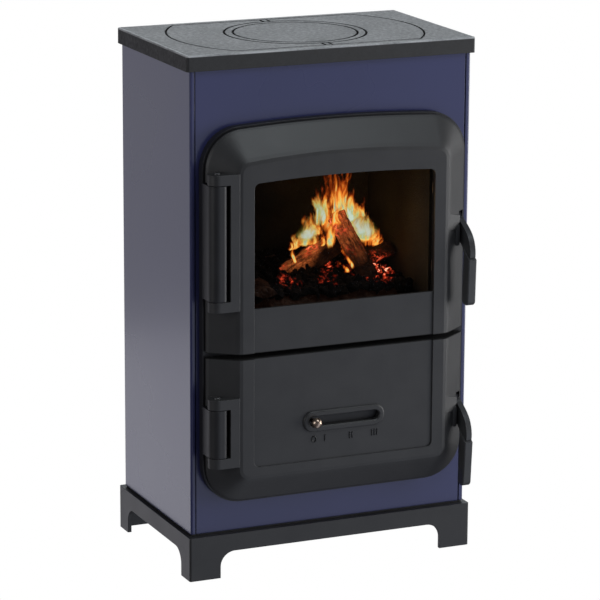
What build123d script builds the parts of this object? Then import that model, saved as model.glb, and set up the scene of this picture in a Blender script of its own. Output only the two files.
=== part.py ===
from build123d import *
from math import asin, cos, degrees, radians, sin, sqrt
import os

os.makedirs("parts", exist_ok=True)

# Free-standing wood burning stove with a cast hob, two cast doors and an enamelled steel casing.
# Millimetres. X is to the right, Y to the back, Z up; the origin is on the floor, under the middle.
# Front faces look along -Y.

# ---------------------------------------------------------------- driving dimensions

# overall
stove_height = 800.0
touch_gap = 0.3            # between pieces that belong to bodies that move apart

# hob: top plate, insert, ring and lid
plate_overhang = 6.0       # past the casing's sides
plate_depth = 286.0
plate_height = 24.0
plate_skin = 14.0
plate_rim = 8.0
plate_corner_radius = 4.0
plate_edge_radius = 2.0
insert_inset = 39.0        # from the plate's side edges
insert_half_depth = 125.5
insert_thickness = 8.0
insert_corner_radius = 6.0
ring_radius = 107.0
lid_radius = 93.6
hob_groove = 2.0
ledge_width = 8.0
ledge_thickness = 6.0
lid_thickness = 5.0
lid_boss_depth = 5.0
notch_spacing = 11.0
notch_width = 3.0
notch_depth = 4.0
hob_edge = 0.8

# casing
body_width = 456.0
body_front = 139.0         # distance of the casing's front face from the middle
body_back = 140.0
sheet = 2.0
fold_radius = 3.0
flange = 7.0
rear_flange = 16.0
panel_gap = 1.5
panel_recess = 0.5
panel_return = 12.0
cutout_margin = 14.0
rear_sheet = 1.5
rear_inset = 6.0
rear_screw_head_radius = 4.5
rear_screw_head = 2.5
rear_screw_inset = 14.0
vent_length = 60.0
vent_height = 5.0
vent_pitch = 14.0
vent_rows = 4
vent_columns = 4
vent_column_pitch = 88.0
vent_band = 110.0          # height of the lower vents above the panel's lower edge

# base
base_overhang = 6.0        # past the casing's sides
base_depth = 298.0
base_height = 68.0
base_wall = 6.0
base_flange = 26.0
base_corner_radius = 3.0
foot_width = 50.0
foot_depth = 36.0
skirt_clear = 41.0         # height of the arch between two feet
arch_radius = 23.0
base_plate_thickness = 3.0
base_plate_inset = 2.0

# doors: one outline shared by both, split by a level gap
door_inset = 17.0          # from the casing's sides
door_drop = 105.0          # doors' top below the hob
door_bottom = 122.0
door_crown = 10.0
door_corner_radius = 58.0
door_rear = 155.0          # distance of the doors' rear edge from the middle
door_relief = 35.0         # how far the flat face stands in front of that edge
bevel_width = 41.0
door_edge = 3.0            # straight edge behind the bevel
edge_round = 3.0
crease_round = 5.0
door_wall = 7.0
face_wall = 6.0
split_low = 349.0
split_high = 357.0
recess_inset = 64.0        # from the doors' side edges
recess_depth = 2.5
recess_bottom = 181.0
recess_drop = 77.0         # below the doors' top
recess_crown = 5.0
recess_radius = 9.0
window_bottom = 424.0
window_low_radius = 2.0
seal_rib = 5.0
seal_rope = 8.0
seal_offset = 6.0          # from the frame's opening to the middle of the rope

# door hinges
pin_inset = 10.0           # from the doors' left edge
pin_y = -176.0
pin_radius = 4.0
pin_clearance = 0.06
pin_head_radius = 5.0
pin_head_height = 2.0
barrel_radius = 14.0
barrel_right = 12.5
barrel_corner = 7.0
barrel_gap = 1.0
notch_wall = 16.3          # distance of the doors' notch wall from the pin
ear_height = 15.5
upper_hinge_low = 440.0
upper_hinge_drop = 82.0    # below the doors' top
lower_hinge_low = 201.0
lower_hinge_high = 274.0
barrel_web = 8.0           # right of the pin

# frame the doors close on
frame_front = 152.0
frame_wall = 6.0
frame_margin = 3.0
opening_inset = 39.0       # from the doors' side edges
opening_radius = 12.0
upper_opening_low = 388.0
upper_opening_drop = 59.0  # below the doors' top
lower_opening_low = 150.0
lower_opening_high = 322.0
sleeve_wall = 5.0
sleeve_length = 24.0

# window
glass_thickness = 4.0
glass_overlap = 10.0
gasket_thickness = 2.0
gasket_inset = 1.5
clip_reach = 7.0           # over the glass
clip_width = 16.0
clip_boss_offset = 7.5     # from the glass edge
clip_boss_radius = 4.5
clip_spacing = 120.0
clip_thickness = 1.5
clip_screw_radius = 2.5
clip_screw_head_radius = 4.0
clip_screw_head = 2.5
clip_screw_length = 8.0

# door handles: lever sizes are from its pivot, forward and up
handle_inset = 8.0         # from the doors' right edge
lever_thickness = 9.0
lever_hub_radius = 7.5
pivot_y = -163.0
upper_pivot_z = 521.0
lower_pivot_z = 236.0
pivot_radius = 3.0
pivot_clearance = 0.08
pivot_head_radius = 5.5
pivot_head = 2.0
arm_front = ((22.0, -3.0), (38.5, -16.5), (44.5, -28.0), (46.0, -44.0))
arm_rear = ((20.0, -34.0), (6.0, -26.0))
grip_width = 14.0
grip_back = 27.0
grip_depth = 20.0
grip_top = 36.0
grip_slope = 12.0
grip_length = 84.0
grip_radius = 2.2
grip_end_radius = 8.0
heel_length = 7.8
heel_half_height = 3.5
upper_lean = 2.0
lower_lean = 4.0
boss_above = 20.0          # above the pivot, at the bevel's crease
boss_end_above = 13.0
boss_below = 16.0
boss_ramp = 10.0           # height of the ramp under the boss
boss_front = 172.0         # distance of the boss's outer end from the middle
lug_inset = 18.0           # from the doors' right edge
lug_width = 7.0
lug_low = 33.0             # below the pivot
lug_front = 176.0
lug_depth = 10.0
slot_above = 19.0
slot_open_above = 8.2      # closed by the doors' rim above this
slot_below = 30.0
slot_wall = 5.0
pivot_depth = 14.0
keeper_thickness = 1.5
keeper_half_height = 15.0
keeper_nose_low = 7.0
keeper_nose_height = 6.0
keeper_nose_length = 5.5

# air slider
slider_inset = 49.0        # from the doors' side edges, at either end of its travel
slider_margin = 4.0        # past the slot's ends
hole_pitch = 30.0
air_holes = 3
air_hole_radius = 2.6
knob_stand_off = 5.0
knob_room = 8.0            # between the slot's ends and the knob's middle
knob_shift = 1.0           # of the knob's travel, from the slot's middle
rim_border = 9.0           # past the slot
rim_proud = 4.0
rim_round = 3.0
rim_z = 242.0
slot_height = 15.0
slot_edge = 1.5
slider_sheet = 2.5
slider_height = 34.0
rail_height = 10.0
rail_reach = 3.0           # past the sunk panel
rail_overlap = 3.0
rail_gap = 0.4
rail_lip_thickness = 2.5
rail_screw_inset = 15.0
rail_screw_radius = 2.0
rail_screw_depth = 4.0
rail_screw_head_radius = 3.5
rail_screw_head = 2.0
knob_radius = 8.0
knob_stem_radius = 3.0

# firebox
shell_side_gap = 28.0      # inside the casing
shell_wall = 4.0
shell_bottom = 95.0
shell_back_y = 122.0
shelf_z = 368.0
shelf_opening_x = 200.0
shelf_opening_y = 140.0
shelf_opening_shift = 5.0
grate_thickness = 12.0
grate_lip = 10.0
grate_bar_pitch = 16.0
grate_slot = 8.0
brick_thickness = 28.0
brick_drop = 80.0          # below the doors' top
brick_gap = 1.0
baffle_thickness = 20.0
baffle_front = -62.0
guard_height = 30.0
guard_thickness = 8.0
guard_foot = 30.0

# ash pan
pan_side_gap = 22.0        # inside the frame's opening
pan_height = 70.0
pan_sheet = 1.5
pan_front = -118.0
pan_back = 104.0
pan_corner = 9.0
pan_handle_width = 90.0
pan_handle_reach = 8.0
pan_handle_height = 14.0

# flue collar
flue_radius = 60.0
flue_wall = 4.0
flue_drop = 106.0          # below the hob
flue_end = 207.0
flue_flange_radius = 80.0
flue_flange = 7.0
flue_hole_clearance = 3.0
flue_screw_radius = 3.0
flue_screw_circle = 71.0
flue_screw_head_radius = 5.0
flue_screw_head = 4.0

# split logs: x, y, z of the middle of the split edge, bearing, lean and turn in degrees,
# length, radius and wedge angle
logs = (
    (25.0, -66.0, 378.0, 4.0, 0.0, 90.0, 220.0, 36.0, 170.0),
    (15.0, 28.0, 378.0, -3.0, 0.0, 90.0, 250.0, 38.0, 160.0),
    (-2.0, -40.0, 468.68, 0.0, 30.0, -60.0, 120.0, 38.0, 85.0),
    (66.0, -60.0, 474.78, 180.0, 61.0, 0.0, 125.0, 22.0, 100.0),
    (115.0, 0.0, 451.55, 0.0, 17.0, -90.0, 92.0, 28.0, 110.0),
    (-10.0, 53.6, 411.55, 6.0, -2.0, 90.0, 200.0, 30.0, 120.0),
    (-85.0, -60.0, 413.01, 80.0, 0.0, 90.0, 90.0, 22.0, 130.0),
)

# ---------------------------------------------------------------- derived places

plate_width = body_width + 2 * plate_overhang
insert_radius = plate_width / 2 - insert_inset
base_width = body_width + 2 * base_overhang
door_half_width = body_width / 2 - door_inset
lug_x = door_half_width - lug_inset
plate_low = stove_height - plate_height
flue_z = stove_height - flue_drop
door_top = stove_height - door_drop
recess_top = door_top - recess_drop
upper_hinge_high = door_top - upper_hinge_drop
upper_opening_high = door_top - upper_opening_drop
brick_top = door_top - brick_drop
pin_x = pin_inset - door_half_width
handle_x = door_half_width - handle_inset
recess_half_width = door_half_width - recess_inset
opening_half_width = door_half_width - opening_inset
# the plate covers the slot at both ends of its travel
slot_length = 2 * (door_half_width - slider_inset - slider_margin + 2 * knob_room) / 3
slider_travel = slot_length - 2 * knob_room
slider_start = knob_shift - slider_travel / 2
rail_length = 2 * (recess_half_width + rail_reach)
rail_screw_spacing = rail_length - 2 * rail_screw_inset
shell_half_width = body_width / 2 - shell_side_gap
pan_half_width = opening_half_width - pan_side_gap
base_top = base_height + base_plate_thickness
body_side = body_width / 2
flat_face = door_rear + door_relief
recess_face = flat_face - recess_depth
wall_back = recess_face - face_wall
rope_seat = frame_front + touch_gap + seal_rope
lever_inner = handle_x - lever_thickness / 2
glass_front = wall_back - gasket_thickness
glass_back = glass_front - glass_thickness
window_middle = (window_bottom + recess_top) / 2
glass_half_width = recess_half_width + glass_overlap
clip_boss_x = glass_half_width + clip_boss_offset
rail_middle = slider_height / 2 + rail_gap + rail_height / 2 - rail_overlap
ear_radius = barrel_radius


def front(distance):
    """Plane that looks to the front, at a distance in front of the middle."""
    return Plane.XZ.offset(distance)


def level(height):
    """Level plane at a height above the floor."""
    return Plane.XY.offset(height)


def door_outline(grow):
    """Outline of both closed doors together, with a crowned top, grown by grow."""
    half = door_half_width + grow
    low = door_bottom - grow
    shoulder = door_top - door_crown + grow
    with BuildSketch(mode=Mode.PRIVATE) as outline:
        with BuildLine():
            Polyline((-half, shoulder), (-half, low), (half, low), (half, shoulder))
            ThreePointArc((half, shoulder), (0, door_top + grow), (-half, shoulder))
        make_face()
        fillet(outline.vertices(), radius=door_corner_radius + grow)
    return outline.sketch


def opening_outline(low, high, grow):
    """Rounded opening of the frame between two heights, grown by grow."""
    with BuildSketch(mode=Mode.PRIVATE) as outline:
        with Locations((0, (low + high) / 2)):
            RectangleRounded(
                2 * (opening_half_width + grow), high - low + 2 * grow, opening_radius + grow
            )
    return outline.sketch


# ---------------------------------------------------------------- hob

def insert_outline(grow):
    """Round insert cut off straight at front and back, grown by grow."""
    with BuildSketch(mode=Mode.PRIVATE) as outline:
        Circle(insert_radius + grow)
        Rectangle(2 * (insert_radius + grow), 2 * (insert_half_depth + grow), mode=Mode.INTERSECT)
        corners = outline.vertices().filter_by(lambda v: abs(v.Y) > insert_half_depth / 2)
        fillet(corners, radius=insert_corner_radius)
    return outline.sketch


with BuildPart() as top_plate:
    with BuildSketch(level(plate_low)):
        RectangleRounded(plate_width, plate_depth, plate_corner_radius)
    extrude(amount=plate_height)
    fillet(top_plate.edges().group_by(Axis.Z)[-1], radius=plate_edge_radius)
    with BuildSketch(level(plate_low)):
        RectangleRounded(plate_width - 2 * plate_rim, plate_depth - 2 * plate_rim, plate_corner_radius)
    extrude(amount=plate_height - plate_skin, mode=Mode.SUBTRACT)
    with BuildSketch(level(stove_height)):
        add(insert_outline(hob_groove))
    extrude(amount=-(insert_thickness + touch_gap), mode=Mode.SUBTRACT)
    with BuildSketch(level(stove_height)):
        add(insert_outline(-ledge_width))
    extrude(amount=-plate_height, mode=Mode.SUBTRACT)
top_plate.part.label = "top_plate"
export_step(top_plate.part, "parts/top_plate.step")

ring_seat = ring_radius + hob_groove
with BuildPart() as hob_insert:
    with BuildSketch(level(stove_height)):
        add(insert_outline(0))
    extrude(amount=-insert_thickness)
    with BuildSketch(level(stove_height - insert_thickness)):
        Circle(ring_seat + ledge_width)
    extrude(amount=-ledge_thickness)
    with BuildSketch(level(stove_height)):
        Circle(ring_seat)
    extrude(amount=-(insert_thickness + touch_gap), mode=Mode.SUBTRACT)
    with BuildSketch(level(stove_height)):
        Circle(ring_radius - ledge_width)
    extrude(amount=-(insert_thickness + ledge_thickness), mode=Mode.SUBTRACT)
    chamfer(hob_insert.edges().group_by(Axis.Z)[-1], length=hob_edge)
    # two pairs of short relief grooves, at the front and at the back
    groove_middle = (ring_radius + insert_half_depth) / 2
    with BuildSketch(level(stove_height)):
        with GridLocations(notch_spacing, 2 * groove_middle, 2, 2):
            Rectangle(notch_width, insert_half_depth - ring_radius + 2 * hob_groove)
    extrude(amount=-notch_depth, mode=Mode.SUBTRACT)
hob_insert.part.label = "hob_insert"
export_step(hob_insert.part, "parts/hob_insert.step")

lid_seat = lid_radius + hob_groove
with BuildPart() as hob_ring:
    with BuildSketch(level(stove_height)):
        Circle(ring_radius)
    extrude(amount=-insert_thickness)
    with BuildSketch(level(stove_height)):
        Circle(lid_seat)
    extrude(amount=-(lid_thickness + touch_gap), mode=Mode.SUBTRACT)
    with BuildSketch(level(stove_height)):
        Circle(lid_radius - ledge_width)
    extrude(amount=-insert_thickness, mode=Mode.SUBTRACT)
    chamfer(hob_ring.edges().group_by(Axis.Z)[-1], length=hob_edge)
hob_ring.part.label = "hob_ring"
export_step(hob_ring.part, "parts/hob_ring.step")

with BuildPart() as hob_lid:
    with BuildSketch(level(stove_height)):
        Circle(lid_radius)
    extrude(amount=-lid_thickness)
    with BuildSketch(level(stove_height - lid_thickness)):
        Circle(lid_radius - ledge_width - hob_groove)
    extrude(amount=-lid_boss_depth)
    chamfer(hob_lid.edges().group_by(Axis.Z)[-1], length=hob_edge)
hob_lid.part.label = "hob_lid"
export_step(hob_lid.part, "parts/hob_lid.step")

# ---------------------------------------------------------------- base

with BuildPart() as base:
    with BuildSketch():
        RectangleRounded(base_width, base_depth, base_corner_radius)
        Rectangle(base_width - 2 * base_wall, base_depth - 2 * base_wall, mode=Mode.SUBTRACT)
    extrude(amount=base_height)
    # flange under the base plate
    with BuildSketch(level(base_height)):
        Rectangle(base_width - base_wall, base_depth - base_wall)
        Rectangle(base_width - 2 * base_flange, base_depth - 2 * base_flange, mode=Mode.SUBTRACT)
    extrude(amount=-base_wall)
    # arches between the feet
    for plane, span in (
        (Plane.XZ, base_width - 2 * foot_width),
        (Plane.YZ, base_depth - 2 * foot_depth),
    ):
        with BuildSketch(plane) as arch:
            with Locations((0, skirt_clear / 2)):
                Rectangle(span, skirt_clear)
            fillet(arch.vertices().group_by(Axis.Y)[-1], radius=arch_radius)
        extrude(amount=base_width, both=True, mode=Mode.SUBTRACT)
base.part.label = "base"
export_step(base.part, "parts/base.step")

body_depth = body_front + body_back
body_middle = (body_back - body_front) / 2
with BuildPart() as base_plate:
    with BuildSketch(level(base_height)):
        with Locations((0, body_middle)):
            Rectangle(body_width - 2 * base_plate_inset, body_depth - 2 * base_plate_inset)
    extrude(amount=base_plate_thickness)
base_plate.part.label = "base_plate"
export_step(base_plate.part, "parts/base_plate.step")

# ---------------------------------------------------------------- casing

for name, side in (("side_panel_left", -1), ("side_panel_right", 1)):
    with BuildPart() as side_panel:
        with BuildSketch(level(base_top)) as folded:
            with Locations((side * (body_side - rear_flange / 2), body_middle)):
                Rectangle(rear_flange, body_depth)
            fillet(folded.vertices().sort_by(Axis.X)[::side][-2:], radius=fold_radius)
            with Locations((side * (body_side - sheet - rear_flange / 2), body_middle)):
                Rectangle(rear_flange, body_depth - 2 * sheet, mode=Mode.SUBTRACT)
            with Locations((side * (body_side - flange - rear_flange / 2), -body_front)):
                Rectangle(rear_flange, 4 * sheet, mode=Mode.SUBTRACT)
        extrude(amount=plate_low - base_top)
    side_panel.part.label = name
    export_step(side_panel.part, f"parts/{name}.step")

panel_half_width = body_side - flange - panel_gap
panel_face = body_front - panel_recess
shell_inner = shell_half_width - shell_wall
with BuildPart() as front_panel:
    with BuildSketch(level(base_top)):
        with Locations((0, -panel_face + panel_return / 2)):
            Rectangle(2 * panel_half_width, panel_return)
        with Locations((0, -panel_face + sheet + panel_return / 2)):
            Rectangle(2 * (panel_half_width - sheet), panel_return, mode=Mode.SUBTRACT)
    extrude(amount=plate_low - base_top)
    with BuildSketch(front(panel_face)) as cutout:
        add(door_outline(-cutout_margin))
    extrude(amount=-sheet, mode=Mode.SUBTRACT)
front_panel.part.label = "front_panel"
export_step(front_panel.part, "parts/front_panel.step")

with BuildPart() as rear_panel:
    with BuildSketch(Plane.XZ.offset(-body_back)) as rear_outline:
        with Locations((0, (base_top + plate_low) / 2)):
            Rectangle(2 * (body_side - rear_inset), plate_low - base_top - 2 * rear_inset)
    extrude(amount=-rear_sheet)
    # passage of the flue collar
    with BuildSketch(Plane.XZ.offset(-body_back)):
        with Locations((0, flue_z)):
            Circle(flue_radius + flue_hole_clearance)
    extrude(amount=-rear_sheet, mode=Mode.SUBTRACT)
    # two bands of level vents
    with BuildSketch(Plane.XZ.offset(-body_back)):
        for height in (base_top + vent_band, flue_z - flue_radius - vent_band):
            with Locations((0, height)):
                with GridLocations(vent_column_pitch, vent_pitch, vent_columns, vent_rows):
                    SlotOverall(vent_length, vent_height)
    extrude(amount=-rear_sheet, mode=Mode.SUBTRACT)
rear_panel.part.label = "rear_panel"
export_step(rear_panel.part, "parts/rear_panel.step")

rear_face = body_back + rear_sheet
with BuildPart() as rear_panel_screws:
    with BuildSketch(Plane.XZ.offset(-rear_face)):
        with Locations((0, (base_top + plate_low) / 2)):
            with GridLocations(
                2 * (body_side - rear_screw_inset), (plate_low - base_top) / 2 - 2 * rear_inset, 2, 3
            ):
                Circle(rear_screw_head_radius)
    extrude(amount=-rear_screw_head)
    chamfer(rear_panel_screws.edges().group_by(Axis.Y)[-1], length=rear_screw_head / 3)
rear_panel_screws.part.label = "rear_panel_screws"
export_step(rear_panel_screws.part, "parts/rear_panel_screws.step")

# ---------------------------------------------------------------- frame the doors close on

hinges = ((upper_hinge_low, upper_hinge_high), (lower_hinge_low, lower_hinge_high))
openings = ((upper_opening_low, upper_opening_high), (lower_opening_low, lower_opening_high))
barrel_bore = pin_radius + pin_clearance

with BuildPart() as door_frame:
    with BuildSketch(front(panel_face)):
        add(door_outline(frame_margin))
    extrude(amount=frame_front - panel_face)
    with BuildSketch(front(panel_face)):
        add(door_outline(frame_margin - frame_wall))
    extrude(amount=frame_front - panel_face - frame_wall, mode=Mode.SUBTRACT)
    # sleeve round each opening, reaching back into the firebox
    with BuildSketch(front(frame_front)):
        for low, high in openings:
            add(opening_outline(low, high, sleeve_wall))
    extrude(amount=-sleeve_length)
    with BuildSketch(front(frame_front)):
        for low, high in openings:
            add(opening_outline(low, high, 0))
    extrude(amount=-sleeve_length, mode=Mode.SUBTRACT)
    # hinge barrels: round on the outside, flat and flush with the doors in front
    for low, high in hinges:
        with BuildSketch(level(low)) as barrel:
            with Locations((pin_x, pin_y)):
                Circle(barrel_radius)
            with Locations((pin_x + barrel_right / 2, pin_y - barrel_radius / 2)):
                Rectangle(barrel_right, barrel_radius)
            with Locations((pin_x + (barrel_web - barrel_radius) / 2, (pin_y - frame_front) / 2)):
                Rectangle(barrel_web + barrel_radius, -pin_y - frame_front)
            corner = barrel.vertices().sort_by_distance((pin_x + barrel_right, pin_y - barrel_radius))[0]
            fillet(corner, radius=barrel_corner)
        extrude(amount=high - low)
        with BuildSketch(level(low)):
            with Locations((pin_x, pin_y)):
                Circle(barrel_bore)
        extrude(amount=high - low, mode=Mode.SUBTRACT)
door_frame.part.label = "door_frame"
export_step(door_frame.part, "parts/door_frame.step")

# ---------------------------------------------------------------- doors

bevel_steps = (
    (0, door_rear),
    (0, door_rear + door_edge),
    (-edge_round, door_rear + door_edge + edge_round),
    (-bevel_width + crease_round, flat_face - crease_round * door_relief / bevel_width),
    (-bevel_width, flat_face - crease_round / 5),
    (-bevel_width - crease_round, flat_face),
)
cavity_steps = (
    (-door_wall, door_rear),
    (-door_wall, door_rear + door_edge),
    (-bevel_width - door_wall, wall_back),
)


def bevelled(steps):
    """Solid through door outlines, each grown and placed as a step says."""
    with BuildPart(mode=Mode.PRIVATE) as solid:
        for grow, distance in steps:
            with BuildSketch(front(distance)):
                add(door_outline(grow))
        loft(ruled=True)
    return solid.part


def band(low, high):
    """Block as wide and deep as the doors between two heights."""
    with BuildPart(mode=Mode.PRIVATE) as block:
        with BuildSketch(level(low)):
            Rectangle(4 * door_half_width, 4 * flat_face)
        extrude(amount=high - low)
    return block.part


def rope_ring(low, high):
    """Seat of the rope seal round one opening of the frame."""
    with BuildPart(mode=Mode.PRIVATE) as ring:
        with BuildSketch(front(rope_seat)):
            add(opening_outline(low, high, seal_offset + seal_rib))
            add(opening_outline(low, high, seal_offset - seal_rib), mode=Mode.SUBTRACT)
        extrude(amount=flat_face - rope_seat)
    return ring.part


def hinge_block(low, high):
    """Ears and the block between them, round about the pin and flush with the flat face."""
    foot = low - barrel_gap - ear_height
    with BuildPart(mode=Mode.PRIVATE) as block:
        with BuildSketch(level(foot)):
            with Locations((pin_x, pin_y)):
                Circle(ear_radius)
            left = pin_x
            right = -door_half_width + bevel_width
            with Locations(((left + right) / 2, pin_y)):
                Rectangle(right - left, 2 * ear_radius)
            with Locations((pin_x + notch_wall + door_wall / 2, (pin_y - rope_seat) / 2)):
                Rectangle(door_wall, -pin_y - rope_seat)
        extrude(amount=high - low + 2 * (barrel_gap + ear_height))
    return block.part


def hinge_notch(low, high):
    """Space the frame's barrel stands in, open to the left."""
    with BuildPart(mode=Mode.PRIVATE) as notch:
        with BuildSketch(level(low - barrel_gap)):
            with Locations((pin_x + notch_wall - door_half_width / 2, -flat_face)):
                Rectangle(door_half_width, 2 * flat_face)
        extrude(amount=high - low + 2 * barrel_gap)
    return notch.part


def handle_boss(pivot_z):
    """Raised block on the bevel that carries the lever's pivot, with a ramp below."""
    right = lever_inner - touch_gap
    seal_edge = opening_half_width + seal_offset + seal_rib
    sections = (
        (
            door_half_width - bevel_width + crease_round,
            boss_above,
            flat_face - crease_round * door_relief / bevel_width,
        ),
        (right, boss_end_above, boss_front),
    )
    with BuildPart(mode=Mode.PRIVATE) as boss:
        for distance, above, face in sections:
            with BuildSketch(Plane.YZ.offset(distance)):
                with BuildLine():
                    Polyline(
                        (-rope_seat, pivot_z + above),
                        (-face, pivot_z + above),
                        (-face, pivot_z - boss_below + boss_ramp),
                        (-face + boss_ramp, pivot_z - boss_below),
                        (-rope_seat, pivot_z - boss_below),
                        (-rope_seat, pivot_z + above),
                    )
                make_face()
        loft(ruled=True)
        # thicker behind the pivot, outside the rope seal
        with BuildSketch(Plane.YZ.offset(seal_edge)):
            with Locations((-(rope_seat + door_rear) / 2, pivot_z)):
                Rectangle(rope_seat - door_rear, 2 * boss_end_above)
        extrude(amount=right - seal_edge)
    return boss.part


def handle_lug(pivot_z):
    """Rounded lug cast on the bevel below the boss."""
    with BuildPart(mode=Mode.PRIVATE) as lug:
        with BuildSketch(front(lug_front)):
            with Locations((lug_x, pivot_z - lug_low / 2)):
                SlotOverall(lug_low, lug_width, rotation=90)
        extrude(amount=-lug_depth)
    return lug.part


def slot_block(pivot_z, grow):
    """Space the lever swings in, open to the right beside and below its hub, grown by grow."""
    pocket = lever_thickness + 2 * (touch_gap + grow)
    with BuildPart(mode=Mode.PRIVATE) as slot:
        for above, reach in ((slot_open_above, door_half_width), (slot_above, pocket)):
            with BuildSketch(Plane.YZ.offset(lever_inner - touch_gap - grow)):
                with Locations((-flat_face, pivot_z + (above - slot_below) / 2)):
                    Rectangle(2 * (flat_face - door_rear), above + slot_below + 2 * grow)
            extrude(amount=reach)
    return slot.part


def door_casting(low, high, opening, hinge, pivot_z):
    """Hollow casting of one door, with its hinge ears, rope seat, boss, lug and lever slot."""
    with BuildPart(mode=Mode.PRIVATE) as cavity:
        add(bevelled(cavity_steps))
        add(band(low + door_wall, high - door_wall), mode=Mode.INTERSECT)
        add(rope_ring(*opening), mode=Mode.SUBTRACT)
        add(hinge_block(*hinge), mode=Mode.SUBTRACT)
        add(handle_boss(pivot_z), mode=Mode.SUBTRACT)
        add(slot_block(pivot_z, slot_wall), mode=Mode.SUBTRACT)
    with BuildPart(mode=Mode.PRIVATE) as casting:
        add(bevelled(bevel_steps))
        add(band(low, high), mode=Mode.INTERSECT)
        add(cavity.part, mode=Mode.SUBTRACT)
        add(hinge_block(*hinge))
        add(handle_boss(pivot_z))
        add(handle_lug(pivot_z))
        add(hinge_notch(*hinge), mode=Mode.SUBTRACT)
        add(slot_block(pivot_z, 0), mode=Mode.SUBTRACT)
        # pin hole through both ears
        with BuildSketch(level(low)):
            with Locations((pin_x, pin_y)):
                Circle(pin_radius)
        extrude(amount=high - low, mode=Mode.SUBTRACT)
        # pivot hole in the boss
        with BuildSketch(Plane.YZ.offset(lever_inner - touch_gap)):
            with Locations((pivot_y, pivot_z)):
                Circle(pivot_radius)
        extrude(amount=-pivot_depth, mode=Mode.SUBTRACT)
        # shallow panel sunk into the flat face
        with BuildSketch(front(flat_face)):
            add(panel_outline(recess_bottom, recess_top, recess_radius))
        extrude(amount=-recess_depth, mode=Mode.SUBTRACT)
    return casting.part


def panel_outline(low, high, low_radius):
    """Outline of the sunk panel and the window, with a crowned top."""
    half = recess_half_width
    with BuildSketch(mode=Mode.PRIVATE) as outline:
        with BuildLine():
            Polyline((-half, high - recess_crown), (-half, low), (half, low), (half, high - recess_crown))
            ThreePointArc((half, high - recess_crown), (0, high), (-half, high - recess_crown))
        make_face()
        fillet(outline.vertices().group_by(Axis.Y)[-1], radius=recess_radius)
        fillet(outline.vertices().group_by(Axis.Y)[0], radius=low_radius)
    return outline.sketch


window_high = recess_top
with BuildPart() as upper_door:
    add(door_casting(split_high, door_top + door_wall, openings[0], hinges[0], upper_pivot_z))
    with BuildSketch(front(flat_face)):
        add(panel_outline(window_bottom, window_high, window_low_radius))
    extrude(amount=-door_relief, mode=Mode.SUBTRACT)
    # bosses the glass clips are screwed to
    with BuildSketch(front(glass_back)):
        with Locations((0, window_middle)):
            with GridLocations(2 * clip_boss_x, clip_spacing, 2, 2):
                Circle(clip_boss_radius)
    extrude(amount=wall_back - glass_back)
    with BuildSketch(front(glass_back)):
        with Locations((0, window_middle)):
            with GridLocations(2 * clip_boss_x, clip_spacing, 2, 2):
                Circle(clip_screw_radius)
    extrude(amount=clip_screw_length, mode=Mode.SUBTRACT)
upper_door.part.label = "upper_door"
export_step(upper_door.part, "parts/upper_door.step")

with BuildPart() as lower_door:
    add(door_casting(door_bottom - door_wall, split_low, openings[1], hinges[1], lower_pivot_z))
    # rounded rim round the slider's slot
    with BuildSketch(front(recess_face)):
        with Locations((0, rim_z)):
            SlotOverall(slot_length + 2 * rim_border, slot_height + 2 * rim_border)
    extrude(amount=rim_proud)
    fillet(lower_door.faces().sort_by(Axis.Y)[0].edges(), radius=rim_round)
    with BuildSketch(front(recess_face + rim_proud)):
        with Locations((0, rim_z)):
            SlotOverall(slot_length, slot_height)
    extrude(amount=-(rim_proud + face_wall), mode=Mode.SUBTRACT)
    chamfer(lower_door.faces().sort_by(Axis.Y)[0].inner_wires()[0].edges(), length=slot_edge)
    # threaded holes of the rail screws
    with BuildSketch(front(wall_back)):
        with Locations((0, rim_z)):
            with GridLocations(rail_screw_spacing, 2 * rail_middle, 2, 2):
                Circle(rail_screw_radius)
    extrude(amount=rail_screw_depth, mode=Mode.SUBTRACT)
lower_door.part.label = "lower_door"
export_step(lower_door.part, "parts/lower_door.step")

for name, (low, high) in (("upper_hinge_pin", hinges[0]), ("lower_hinge_pin", hinges[1])):
    top = high + barrel_gap + ear_height
    with BuildPart() as hinge_pin:
        with BuildSketch(level(top)):
            with Locations((pin_x, pin_y)):
                Circle(pin_radius)
        extrude(amount=-(top - low + barrel_gap + ear_height))
        with BuildSketch(level(top)):
            with Locations((pin_x, pin_y)):
                Circle(pin_head_radius)
        extrude(amount=pin_head_height)
        fillet(hinge_pin.edges().group_by(Axis.Z)[-1], radius=pin_head_height / 2)
    hinge_pin.part.label = name
    export_step(hinge_pin.part, f"parts/{name}.step")

for name, low, high in (
    ("upper_door_seal", upper_opening_low, upper_opening_high),
    ("lower_door_seal", lower_opening_low, lower_opening_high),
):
    rope_middle = frame_front + touch_gap + seal_rope / 2
    with BuildPart() as door_seal:
        with BuildSketch(Plane.YZ):
            with Locations((-rope_middle, low - seal_offset)):
                Circle(seal_rope / 2)
        route = opening_outline(low, high, seal_offset).face().outer_wire()
        sweep(path=front(rope_middle) * route)
    door_seal.part.label = name
    export_step(door_seal.part, f"parts/{name}.step")

# ---------------------------------------------------------------- window

window_height = recess_top - window_bottom
with BuildPart() as door_glass:
    with BuildSketch(front(glass_back)):
        with Locations((0, window_middle)):
            Rectangle(2 * glass_half_width, window_height + 2 * glass_overlap)
    extrude(amount=glass_thickness)
door_glass.part.label = "door_glass"
export_step(door_glass.part, "parts/door_glass.step")

with BuildPart() as glass_gasket:
    with BuildSketch(front(glass_front)):
        with Locations((0, window_middle)):
            Rectangle(
                2 * (glass_half_width - gasket_inset), window_height + 2 * (glass_overlap - gasket_inset)
            )
            Rectangle(
                2 * (recess_half_width + gasket_inset), window_height + 2 * gasket_inset, mode=Mode.SUBTRACT
            )
    extrude(amount=gasket_thickness)
glass_gasket.part.label = "glass_gasket"
export_step(glass_gasket.part, "parts/glass_gasket.step")

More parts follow.
